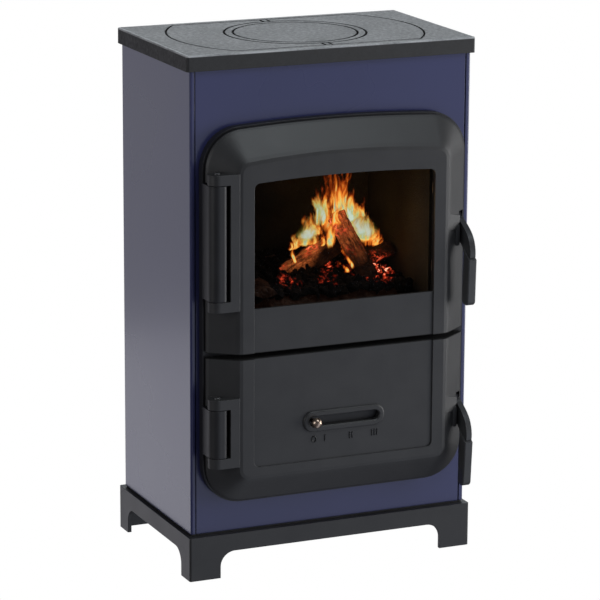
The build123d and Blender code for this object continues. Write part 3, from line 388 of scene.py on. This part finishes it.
def doors_painted_shade(f):
    """Painted shade where the doors face each other, and on the walls round the window."""
    across, back, up = f.split(f.where)
    lower_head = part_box("lower_door")[1].z
    face, upper_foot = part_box("upper_door")[0].yz
    glass_low, glass_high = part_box("door_glass")
    above_lower = (up - (lower_head - door_rounding)).between(0.0, shade_fade)
    under_upper = (upper_foot + door_rounding - up).between(0.0, shade_fade)
    between_sides = (glass_high.x - window_side - abs(across)).between(0.0, shade_fade)
    above_sill = (up - (glass_low.z + window_sill)).between(0.0, shade_fade)
    under_head = (glass_high.z + window_head - up).between(0.0, 0.001)
    behind_face = (back - (face + window_depth)).between(0.0, 0.0006)
    reveal = between_sides * above_sill * under_head * behind_face
    return (above_lower * under_upper).maths("MAXIMUM", reveal)


dress(
    cast_iron("door_black", (0.031, 0.031, 0.032), 0.46, grain=0.00009, edge=door_rounding, painted_shade=doors_painted_shade),
    "upper_door", "lower_door",
)

# ---- Hinge pins and handle pivots
# Turned steel pins, pressed into the doors and bare, with fine marks round them.
# The doors turn on the hinge pins in the frame's barrels, and the levers turn on the pivots.

dress(
    turned_steel("pin_steel", (0.16, 0.16, 0.165)),
    "upper_hinge_pin", "lower_hinge_pin", "upper_handle_pivot", "lower_handle_pivot",
)

# ---- Handles
# Cast levers with rounded grips, painted black, smoother and a little lighter than the doors from use.
# Each is held by its pivot in a boss of its door.

dress(
    cast_iron("handle_black", (0.046, 0.047, 0.049), 0.36, grain=0.00005, edge=0.0014),
    "upper_handle", "lower_handle",
)

# ---- Window
# Clear ceramic glass with a faint film of smoke, on a gasket of woven glass fibre tape.
# Four spring clips and their screws hold it from inside the upper door; fibre rope seals both doors.

pane = Finish("ceramic_glass")
film = pane.grain(14, 4)
dress(
    pane.body(
        base_color=(0.02, 0.018, 0.015),
        roughness=0.04 + 0.05 * film,
        specular_ior_level=0.12,
        alpha=0.02 + 0.06 * film.between(0.5, 0.9),
    ),
    "door_glass",
)


def fibre(name, tint, scale):
    """Woven glass fibre."""
    f = Finish(name)
    weave = f.make("TexVoronoi", {}, {"Vector": f.where, "Scale": scale}, "Distance")
    return f.body(
        base_color=f.blend(weave, tint, tuple(c * 0.4 for c in tint)),
        roughness=0.95,
        normal=f.relief(1 - weave, 0.0006, 0.8),
    )


dress(fibre("gasket_tape", (0.16, 0.15, 0.14), 700), "glass_gasket")
dress(fibre("seal_rope", (0.10, 0.10, 0.095), 500), "upper_door_seal", "lower_door_seal")
bright_steel = turned_steel("clip_steel", (0.3, 0.3, 0.3))
dress(bright_steel, "glass_clips")

# ---- Air slider
# Blackened sheet plate that slides behind the lower door's slot, between two rails.
# It is moved by a turned knob of polished bronze, a little dulled by handling.

dress(turned_steel("slider_plate", (0.05, 0.05, 0.052), 0.45), "air_slider")
dress(bright_steel, "slider_rails")
knob = Finish("knob_bronze")
handling = knob.grain(120, 3)
dress(
    knob.body(
        base_color=knob.blend(handling.between(0.3, 0.7), (0.30, 0.20, 0.14), (0.62, 0.50, 0.41)),
        metallic=1.0,
        roughness=0.20 + 0.16 * handling,
        normal=knob.relief(handling, 0.00003, 0.4),
    ),
    "slider_knob",
)

# ---- Firebox
# Steel plates welded into a box, with a cast grate and a log guard, all under soot.
# Vermiculite boards stand round the fire and lie over it, blackest low down and to the left.

soot = Finish("sooty_plate")
crust = soot.grain(140, 5)
dress(
    soot.body(
        base_color=soot.blend(crust.between(0.35, 0.7), (0.004, 0.0035, 0.003), (0.014, 0.012, 0.010)),
        roughness=0.9,
        normal=soot.relief(crust, 0.0006, 0.6),
    ),
    "shell_left", "shell_right", "shell_back", "shell_front", "shell_floor",
    "grate_shelf", "grate", "log_guard",
)
board = Finish("vermiculite")
flakes = board.make("TexVoronoi", {}, {"Vector": board.where, "Scale": 420.0}, "Distance")
smoke = board.grain(11, 5)
board_across, _, board_up = board.split(board.where)
# Darker low down and to the left, broken up by noise.
darker_low_and_left = (smoke + (0.52 - board_up) * 1.6 + (0.10 - board_across) * 2.5).between(0.2, 0.9)
board_ground = board.blend(flakes, (0.070, 0.064, 0.036), (0.041, 0.037, 0.021))
dress(
    board.body(
        base_color=board.blend(darker_low_and_left, board_ground, (0.006, 0.005, 0.004)),
        roughness=0.95,
        normal=board.relief(flakes + smoke, 0.0007, 0.6),
    ),
    "firebrick_left", "firebrick_right", "firebrick_back", "baffle",
)

# ---- Slider marks
# Raised figures cast on the lower door under the slot, in its iron, coloured darker as painted shade.
# A ring for shut, and one, two and three strokes for more air.


def new_piece(name, mesh, body, slot, *finishes):
    """Puts a mesh into the scene as a piece that rides with a body."""
    for finish in finishes:
        mesh.materials.append(finish)
    piece = bpy.data.objects.new(name, mesh)
    bpy.context.collection.objects.link(piece)
    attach(piece, body)
    return piece


def add_tube(mesh, path, radius, closed=False, sides=8):
    """Round bar along points in a plane that looks forward, with capped ends."""
    rings = []
    for place, point in enumerate(path):
        before = path[place - 1] if closed or place else point
        after = path[(place + 1) % len(path)] if closed or place < len(path) - 1 else point
        along = (after - before).normalized()
        out = Vector((0, -1, 0))
        across = along.cross(out)
        turns = [tau * k / sides for k in range(sides)]
        rings.append([mesh.verts.new(point + radius * (cos(t) * out + sin(t) * across)) for t in turns])
    pairs = list(zip(rings, rings[1:])) + ([(rings[-1], rings[0])] if closed else [])
    for one, two in pairs:
        for k in range(sides):
            mesh.faces.new((one[k], one[k - 1], two[k - 1], two[k]))
    if not closed:
        mesh.faces.new(rings[0])
        mesh.faces.new(rings[-1][::-1])


mark_plane, mark_height = -0.1877, 0.214
stroke_radius, stroke_reach, stroke_gap = 0.0010, 0.0050, 0.0043
ring_middle, ring_reach = -0.0484, (0.0031, 0.0046)
ring_steps = 20
marks_mesh = bpy.data.meshes.new("slider_marks")
strokes = bmesh.new()
oval = []
for step in range(ring_steps):
    turn = tau * step / ring_steps
    oval.append(Vector((
        ring_middle + ring_reach[0] * cos(turn), mark_plane, mark_height + ring_reach[1] * sin(turn),
    )))
add_tube(strokes, oval, stroke_radius, closed=True)
for figure_middle, count in ((-0.0304, 1), (0.0126, 2), (0.0516, 3)):
    for k in range(count):
        stroke_middle = Vector((figure_middle + stroke_gap * (k - (count - 1) / 2), mark_plane, mark_height))
        upwards = Vector((0, 0, stroke_reach))
        add_tube(strokes, [stroke_middle - upwards, stroke_middle, stroke_middle + upwards], stroke_radius)
bmesh.ops.recalc_face_normals(strokes, faces=strokes.faces)
strokes.to_mesh(marks_mesh)
strokes.free()
# Painted shade: the figures are darker than the door, standing in for their shaded sides.
marks_painted_shade = cast_iron("marks_painted_shade", (0.012, 0.012, 0.013), 0.3, grain=0.00003)
new_piece("slider_marks", marks_mesh, "lower_door", "door_cast", marks_painted_shade)

# ---- Firewood
# Split logs piled on the grate and the shelf: checked wood burnt to charcoal, glowing red where it has hold
# of them, and near the fire painted firelight in their colour and a faint glow. The mesh is that of the CAD's
# logs, made finer and uneven.


def hot_near(f, spots):
    """Heat between 0 and 1 round spots, each a place, a reach and a strength."""
    total = 0.0
    for place, reach, strength in spots:
        away = f.make("VectorMath", {"operation": "DISTANCE"}, {0: f.where, 1: place}, "Value")
        total = (1 - away / reach).maths("MAXIMUM", 0.0) * strength + total
    return total.maths("MINIMUM", 1.0)


ember_colours = (
    (0.0, (0.0, 0.0, 0.0)), (0.25, (0.10, 0.006, 0.002)), (0.55, (0.50, 0.045, 0.016)),
    (0.8, (0.85, 0.21, 0.09)), (1.0, (1.0, 0.55, 0.36)),
)
char = Finish("charred_wood")
fibres = char.grain(70, 6)
patches = char.grain(26, 3).between(0.46, 0.60)
twist = char.make("VectorMath", {"operation": "SCALE"}, {0: fibres.beside("Color"), "Scale": 0.012})
twisted = char.make("VectorMath", {"operation": "ADD"}, {0: char.where, 1: twist})
checks = char.make("TexVoronoi", {"feature": "DISTANCE_TO_EDGE"}, {
    "Vector": twisted, "Scale": 120.0, "Randomness": 1.0,
}, "Distance")
cracks = 1 - checks.between(0.0, 0.25)
ash = char.make("TexNoise", {}, {
    "Vector": char.where, "Scale": 150.0, "Detail": 5.0, "Distortion": 1.2,
}).between(0.40, 0.66)
heat = hot_near(char, (
    ((0.026, -0.070, 0.540), 0.050, 1.0),
    ((0.045, -0.078, 0.505), 0.040, 0.8),
    ((0.066, -0.088, 0.478), 0.040, 0.4),
    ((-0.008, -0.062, 0.478), 0.045, 1.1),
    ((-0.030, -0.065, 0.478), 0.060, 1.2),
    ((0.012, -0.060, 0.500), 0.045, 1.2),
))
fierce = hot_near(char, (((0.132, -0.026, 0.440), 0.030, 1.3), ((0.106, -0.030, 0.436), 0.028, 1.2)))
flaring = heat ** 0.7 * (cracks * 0.8 + (fibres - 0.5) * 1.8) * (0.35 + 0.65 * patches)
glowing = (1.1 * flaring + fierce * ash * 0.85).between(0.15, 1.0)


def along_log(angle):
    """Fibres drawn out along a log that leans by an angle in degrees from upright, to the right."""
    drawn = char.make("Mapping", {"vector_type": "TEXTURE"}, {
        "Vector": char.where, "Rotation": (0, radians(angle), 0), "Scale": (1, 1, 5),
    })
    return char.make("TexNoise", {}, {
        "Vector": drawn, "Scale": 230.0, "Detail": 6.0, "Roughness": 0.7, "Distortion": 0.3,
    }).between(0.40, 0.62)


lying_lean, steep_lean = 60, -29
on_steep_log = char.split(char.where)[0].between(0.030, 0.045)
lying_fibres = along_log(lying_lean)
split_fibres = lying_fibres + (along_log(steep_lean) - lying_fibres) * on_steep_log
# Painted firelight: near the fire the wood's colour is made lighter and warmer, and it gets a faint red glow.
lit = heat.between(0.05, 0.6) * (0.12 + 0.88 * split_fibres) * (0.4 + 0.6 * checks.between(0.0, 0.1))
lit_wood = char.blend(on_steep_log, (0.58, 0.21, 0.065), (0.25, 0.048, 0.02))
char_ground = char.blend(fibres.between(0.35, 0.65), (0.007, 0.005, 0.004), (0.05, 0.026, 0.016))
glow = char.make("ValToRGB", {"stops": ember_colours}, {0: glowing}, "Color")
painted_firelight_glow = char.blend(lit, (0.002, 0.0006, 0.0003), (0.27, 0.065, 0.016))
charred_wood = char.body(
    base_color=char.blend(lit, char_ground, lit_wood),
    roughness=0.85,
    specular_ior_level=0.15,
    emission_color=char.make("VectorMath", {"operation": "ADD"}, {0: glow, 1: painted_firelight_glow}),
    emission_strength=1.2,
    normal=char.relief(checks.between(0.0, 0.3) + 0.6 * fibres, 0.002, 0.8),
)
pile = cad_nodes["firewood"]
work = bmesh.new()
work.from_mesh(pile.data)
bmesh.ops.transform(work, matrix=pile.matrix_world, verts=work.verts)
bmesh.ops.remove_doubles(work, verts=work.verts, dist=1e-6)
longest, rounds = 0.005, 8
swell_height, cleft_height, burnt_away = 0.0022, 0.0016, 0.0008
for _ in range(rounds):
    bmesh.ops.triangulate(work, faces=work.faces)
    long_edges = [edge for edge in work.edges if edge.calc_length() > longest]
    bmesh.ops.subdivide_edges(work, edges=long_edges, cuts=1)
bmesh.ops.triangulate(work, faces=work.faces)
bmesh.ops.smooth_vert(work, verts=work.verts, factor=0.4, use_axis_x=True, use_axis_y=True, use_axis_z=True)
work.normal_update()
sunk = []
for vertex in work.verts:
    swell = noise.fractal(vertex.co * 28, 0.6, 2.1, 4) * swell_height
    cleft = abs(noise.noise(vertex.co * 95)) * cleft_height
    sunk.append(vertex.co - vertex.normal * (burnt_away + swell + cleft))
for vertex, place in zip(work.verts, sunk):
    vertex.co = place
for face in work.faces:
    face.smooth = True
logs_mesh = bpy.data.meshes.new("burning_logs")
work.to_mesh(logs_mesh)
work.free()
logs_mesh.materials.clear()
logs = new_piece("burning_logs", logs_mesh, "stove", "log_wood", charred_wood)
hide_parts("firewood")

# ---- Embers
# A heap of charcoal on the grate round the logs: lumps of many sizes broken from burnt wood.
# They lie loose, grey with dust in places and glowing in their gaps under the fire.

coal = Finish("charcoal")
soft = coal.grain(45, 4)
crackle = coal.make("TexVoronoi", {"feature": "DISTANCE_TO_EDGE"}, {
    "Vector": coal.where, "Scale": 130.0,
}, "Distance")
coal_heat = hot_near(coal, (
    ((0.108, -0.055, 0.446), 0.050, 1.0),
    ((0.136, -0.030, 0.450), 0.040, 0.9),
    ((0.022, -0.070, 0.426), 0.026, 0.45),
    ((-0.040, -0.070, 0.428), 0.026, 0.5),
    ((-0.085, -0.060, 0.440), 0.018, 0.4),
    ((0.040, -0.030, 0.445), 0.034, 0.6),
    ((-0.130, -0.040, 0.438), 0.036, 0.35),
))
spots = coal.grain(105, 3).between(0.46, 0.62)
in_gaps = 0.5 + 0.7 * (1 - crackle.between(0.0, 0.2))
coal_glow = (coal_heat * 1.7 * spots * in_gaps).between(0.10, 1.0)
dust = coal.grain(24, 3).between(0.55, 0.75)
charcoal = coal.body(
    base_color=coal.blend(dust * 0.12, (0.006, 0.005, 0.005), (0.06, 0.052, 0.047)),
    roughness=0.9,
    specular_ior_level=0.12,
    emission_color=coal.make("ValToRGB", {"stops": ember_colours}, {0: coal_glow}, "Color"),
    emission_strength=1.7,
    normal=coal.relief(soft + crackle, 0.0015, 0.8),
)
bed_reach, bed_depth, bed_middle, bed_foot = 0.158, 0.088, -0.004, 0.404
mound_height, mound_reach, mound_slope = 0.034, 0.2, 0.06
roughness_height, roughness_scale = 0.007, 30
bed_mesh = bpy.data.meshes.new("bed")
bed = bmesh.new()
bmesh.ops.create_grid(bed, x_segments=60, y_segments=34, size=1)
for vertex in bed.verts:
    across, back = vertex.co.x * bed_reach, bed_middle + vertex.co.y * bed_depth
    from_front = min(1, (back - bed_middle + bed_depth) / mound_slope)
    mound = mound_height * (1 - (across / mound_reach) ** 2) * (0.35 + 0.65 * from_front)
    rough = roughness_height * noise.noise(Vector((across * roughness_scale, back * roughness_scale, 3)))
    vertex.co = (across, back, bed_foot + mound + rough)
bed.to_mesh(bed_mesh)
bed.free()
heap = bpy.data.objects.new("heap", bed_mesh)
bpy.context.collection.objects.link(heap)
lump_radius, knock = 0.008, 0.012
lumps_per_square_metre = 16000.0
tree = bpy.data.node_groups.new("charcoal_heap", "GeometryNodeTree")
tree.interface.new_socket("Geometry", in_out="INPUT", socket_type="NodeSocketGeometry")
amount = tree.interface.new_socket("Lumps per square metre", in_out="INPUT", socket_type="NodeSocketFloat")
seed = tree.interface.new_socket("Seed", in_out="INPUT", socket_type="NodeSocketInt")
tree.interface.new_socket("Geometry", in_out="OUTPUT", socket_type="NodeSocketGeometry")


def node(kind, settings=None, sockets=None):
    """Node of the heap's tree; sockets are given by name or place, each a value or an output to link."""
    made = tree.nodes.new(kind)
    for key, value in (settings or {}).items():
        setattr(made, key, value)
    for key, value in (sockets or {}).items():
        if isinstance(value, bpy.types.NodeSocket):
            tree.links.new(value, made.inputs[key])
        else:
            made.inputs[key].default_value = value
    return made


given = node("NodeGroupInput")
spread = node("GeometryNodeDistributePointsOnFaces", {}, {
    "Mesh": given.outputs[0], "Density": given.outputs[1], "Seed": given.outputs[2],
})
lump = node("GeometryNodeMeshUVSphere", {}, {"Segments": 8, "Rings": 5, "Radius": lump_radius})
turned = node("FunctionNodeRandomValue", {"data_type": "FLOAT_VECTOR"}, {
    1: (tau, tau, tau), "Seed": given.outputs[2],
})
sized = node("FunctionNodeRandomValue", {"data_type": "FLOAT_VECTOR"}, {
    0: (0.5, 0.45, 0.4), 1: (1.9, 1.3, 0.9), "Seed": 5,
})
placed = node("GeometryNodeInstanceOnPoints", {}, {
    "Points": spread.outputs["Points"], "Instance": lump.outputs[0],
    "Rotation": turned.outputs[0], "Scale": sized.outputs[0],
})
real = node("GeometryNodeRealizeInstances", {}, {0: placed.outputs[0]})
broken = node("ShaderNodeTexNoise", {}, {"Scale": 110.0, "Detail": 2.0})
centred = node("ShaderNodeVectorMath", {"operation": "SUBTRACT"}, {
    0: broken.outputs["Color"], 1: (0.5, 0.5, 0.5),
})
shift = node("ShaderNodeVectorMath", {"operation": "SCALE"}, {0: centred.outputs[0], "Scale": knock})
knocked = node("GeometryNodeSetPosition", {}, {0: real.outputs[0], "Offset": shift.outputs[0]})
joined = node("GeometryNodeJoinGeometry")
tree.links.new(knocked.outputs[0], joined.inputs[0])
tree.links.new(given.outputs[0], joined.inputs[0])
plain = node("GeometryNodeRealizeInstances", {}, {0: joined.outputs[0]})
coated = node("GeometryNodeSetMaterial", {}, {0: plain.outputs[0], "Material": charcoal})
node("NodeGroupOutput", {}, {0: coated.outputs[0]})
scatter = heap.modifiers.new("scatter", "NODES")
scatter.node_group = tree
scatter[amount.identifier] = lumps_per_square_metre
scatter[seed.identifier] = 7
bpy.context.view_layer.update()
heap_mesh = bpy.data.meshes.new_from_object(heap.evaluated_get(bpy.context.evaluated_depsgraph_get()))
bpy.data.objects.remove(heap)
new_piece("ember_bed", heap_mesh, "stove", "log_wood")

# ---- Flames
# Burning gas over the logs: curved, tapering sheets in three depths, pale where they are hottest and red at
# the tips, with torn edges, and a soft haze low over the logs. Small warm lamps in front throw their light.

blaze = Finish("flame")
over, along, _ = blaze.split(blaze.make("UVMap"))
centre = 1 - (over * 2 - 1) * (over * 2 - 1)
lick = blaze.make("TexNoise", {}, {
    "Vector": blaze.make("Mapping", {}, {"Vector": blaze.where, "Scale": (1, 1, 0.28)}),
    "Scale": 62.0, "Detail": 5.0, "Distortion": 1.3,
})
streaks = blaze.make("TexNoise", {}, {
    "Vector": blaze.make("Mapping", {}, {"Vector": blaze.where, "Scale": (1, 1, 0.16)}),
    "Scale": 240.0, "Detail": 3.0, "Distortion": 0.4,
})
body_of_flame = centre * (1 - along ** 1.6) * (along * 7).maths("MINIMUM", 1.0)
fade = (centre * 2.2).maths("MINIMUM", 1.0) * (along * 8).maths("MINIMUM", 1.0) * (1 - along ** 3)
torn = fade * (body_of_flame * 1.5 + (lick - 0.5) * 2.2 + (streaks - 0.5) * 1.7 - 0.16).between(0.15, 1.05)
pale = hot_near(blaze, (
    ((0.022, -0.030, 0.527), 0.026, 1.0),
    ((-0.002, -0.035, 0.503), 0.034, 1.0),
    ((0.104, -0.030, 0.503), 0.046, 0.9),
    ((0.072, -0.030, 0.520), 0.026, 0.6),
))
flicker = (lick - 0.5) * 1.7 + (streaks - 0.5) * 1.0
warmth = body_of_flame * 0.66 + flicker + 0.44 * pale ** 0.7 - 0.28 * along + 0.04
flame_colours = (
    (0.0, (0.10, 0.008, 0.001)),
    (0.2, (0.42, 0.050, 0.005)),
    (0.42, (0.84, 0.20, 0.02)),
    (0.6, (0.90, 0.46, 0.08)),
    (0.76, (0.62, 0.58, 0.20)),
    (0.9, (0.38, 0.46, 0.27)),
    (1.0, (0.52, 0.62, 0.50)),
)
flame_colour = blaze.make("ValToRGB", {"stops": flame_colours}, {0: warmth.between(0.0, 1.0)}, "Color")
flame = blaze.body(
    base_color=(0, 0, 0),
    roughness=1.0,
    specular_ior_level=0.0,
    alpha=torn,
    emission_color=flame_colour,
    emission_strength=1.15,
)
mist = Finish("flame_haze")
mist_over, mist_along, _ = mist.split(mist.make("UVMap"))
mist_centre = 1 - (mist_over * 2 - 1) * (mist_over * 2 - 1)
drift = mist.make("TexNoise", {}, {
    "Vector": mist.make("Mapping", {}, {"Vector": mist.where, "Scale": (1, 1, 0.5)}),
    "Scale": 90.0, "Detail": 5.0, "Distortion": 0.8,
})
mist_body = mist_centre * mist_centre * (mist_along * 4).maths("MINIMUM", 1.0) * (1 - mist_along)
mist_colours = ((0.0, (0.16, 0.11, 0.01)), (0.45, (0.36, 0.36, 0.10)), (1.0, (0.46, 0.56, 0.48)))
mist_warmth = (mist_body + (drift - 0.5) * 1.2).between(0.1, 0.75)
haze = mist.body(
    base_color=(0, 0, 0),
    roughness=1.0,
    specular_ior_level=0.0,
    alpha=(mist_body * (1.4 + 3.0 * (drift - 0.5)) - 0.10).between(0.0, 0.8) * 0.85,
    emission_color=mist.make("ValToRGB", {"stops": mist_colours}, {0: mist_warmth}, "Color"),
    emission_strength=1.1,
)


def tongue(mesh, layer, sizes, phase, finish):
    """One curved sheet of flame; its sizes are foot across, back and up, height, width and lean, in mm."""
    *foot, height, width, lean = [size / 1000 for size in sizes]
    rows, columns = 26, 8
    turn = 0.5 * sin(phase * 2.3)
    grid = []
    for r in range(rows + 1):
        v = r / rows
        half = width / 2 * (0.55 + 1.1 * v ** 0.5 * (1 - v) ** 0.75 + 0.3 * (1 - v))
        sway = lean * v ** 1.4 + 0.10 * height * sin(phase + 5.5 * v) * v
        ripple = 0.004 * sin(phase * 3 + 7 * v)
        row = []
        for c in range(columns + 1):
            u = c / columns
            side = (u * 2 - 1) * half
            bow = 0.3 * half * (1 - (u * 2 - 1) ** 2)
            from_foot = Vector((sway + side * cos(turn), side * sin(turn) - bow + ripple, height * v))
            row.append((mesh.verts.new(Vector(foot) + from_foot), (u, v)))
        grid.append(row)
    for one, two in zip(grid, grid[1:]):
        for k in range(columns):
            corners = (one[k], one[k + 1], two[k + 1], two[k])
            face = mesh.faces.new([corner[0] for corner in corners])
            face.smooth = True
            face.material_index = finish
            for loop, corner in zip(face.loops, corners):
                loop[layer].uv = corner[1]


flames_mesh = bpy.data.meshes.new("flames")
sheets = bmesh.new()
uv_layer = sheets.loops.layers.uv.new("run")
tall_tongues = (
    (58, -20, 482, 138, 40, 2), (33, -34, 492, 108, 24, 0), (64, -34, 508, 104, 28, -2),
    (80, -28, 500, 70, 20, 4), (22, -16, 484, 46, 30, 6), (4, -36, 474, 38, 36, 10),
    (-16, -30, 468, 30, 28, 10), (92, -20, 500, 58, 15, 2), (119, 0, 460, 64, 54, -26),
    (104, 6, 468, 66, 50, -6), (136, 0, 452, 44, 34, -20), (116, 0, 500, 42, 10, 0),
    (28, -94, 514, 50, 26, 0), (17, -92, 482, 60, 20, 3), (54, -94, 446, 50, 7, -23),
    (-38, -88, 462, 30, 8, -4), (10, -80, 482, 26, 10, 4), (47, -92, 440, 22, 9, -10),
)
low_gas = ((-2, -46, 482, 46, 42, 8), (24, -42, 504, 58, 30, 2), (106, -20, 474, 54, 54, -14))
flame_finish, haze_finish = 0, 1
for place, sizes in enumerate(tall_tongues):
    tongue(sheets, uv_layer, sizes, place * 1.9, flame_finish)
for place, sizes in enumerate(low_gas):
    tongue(sheets, uv_layer, sizes, place * 0.7, haze_finish)
sheets.to_mesh(flames_mesh)
sheets.free()
new_piece("flames", flames_mesh, "stove", "log_wood", flame, haze)


def fire_lamp(name, place, power):
    """Small warm light among the flames."""
    light = bpy.data.lights.new(name, "POINT")
    light.energy = power
    light.color = (1.0, 0.48, 0.17)
    light.shadow_soft_size = 0.02
    holder = bpy.data.objects.new(name, light)
    holder.location = place
    holder.visible_glossy = False
    bpy.context.collection.objects.link(holder)


fire_lamp("lamp_high", (0.045, -0.085, 0.535), 0.05)
fire_lamp("lamp_left", (-0.002, -0.090, 0.502), 0.034)
fire_lamp("lamp_right", (0.105, -0.080, 0.480), 0.014)
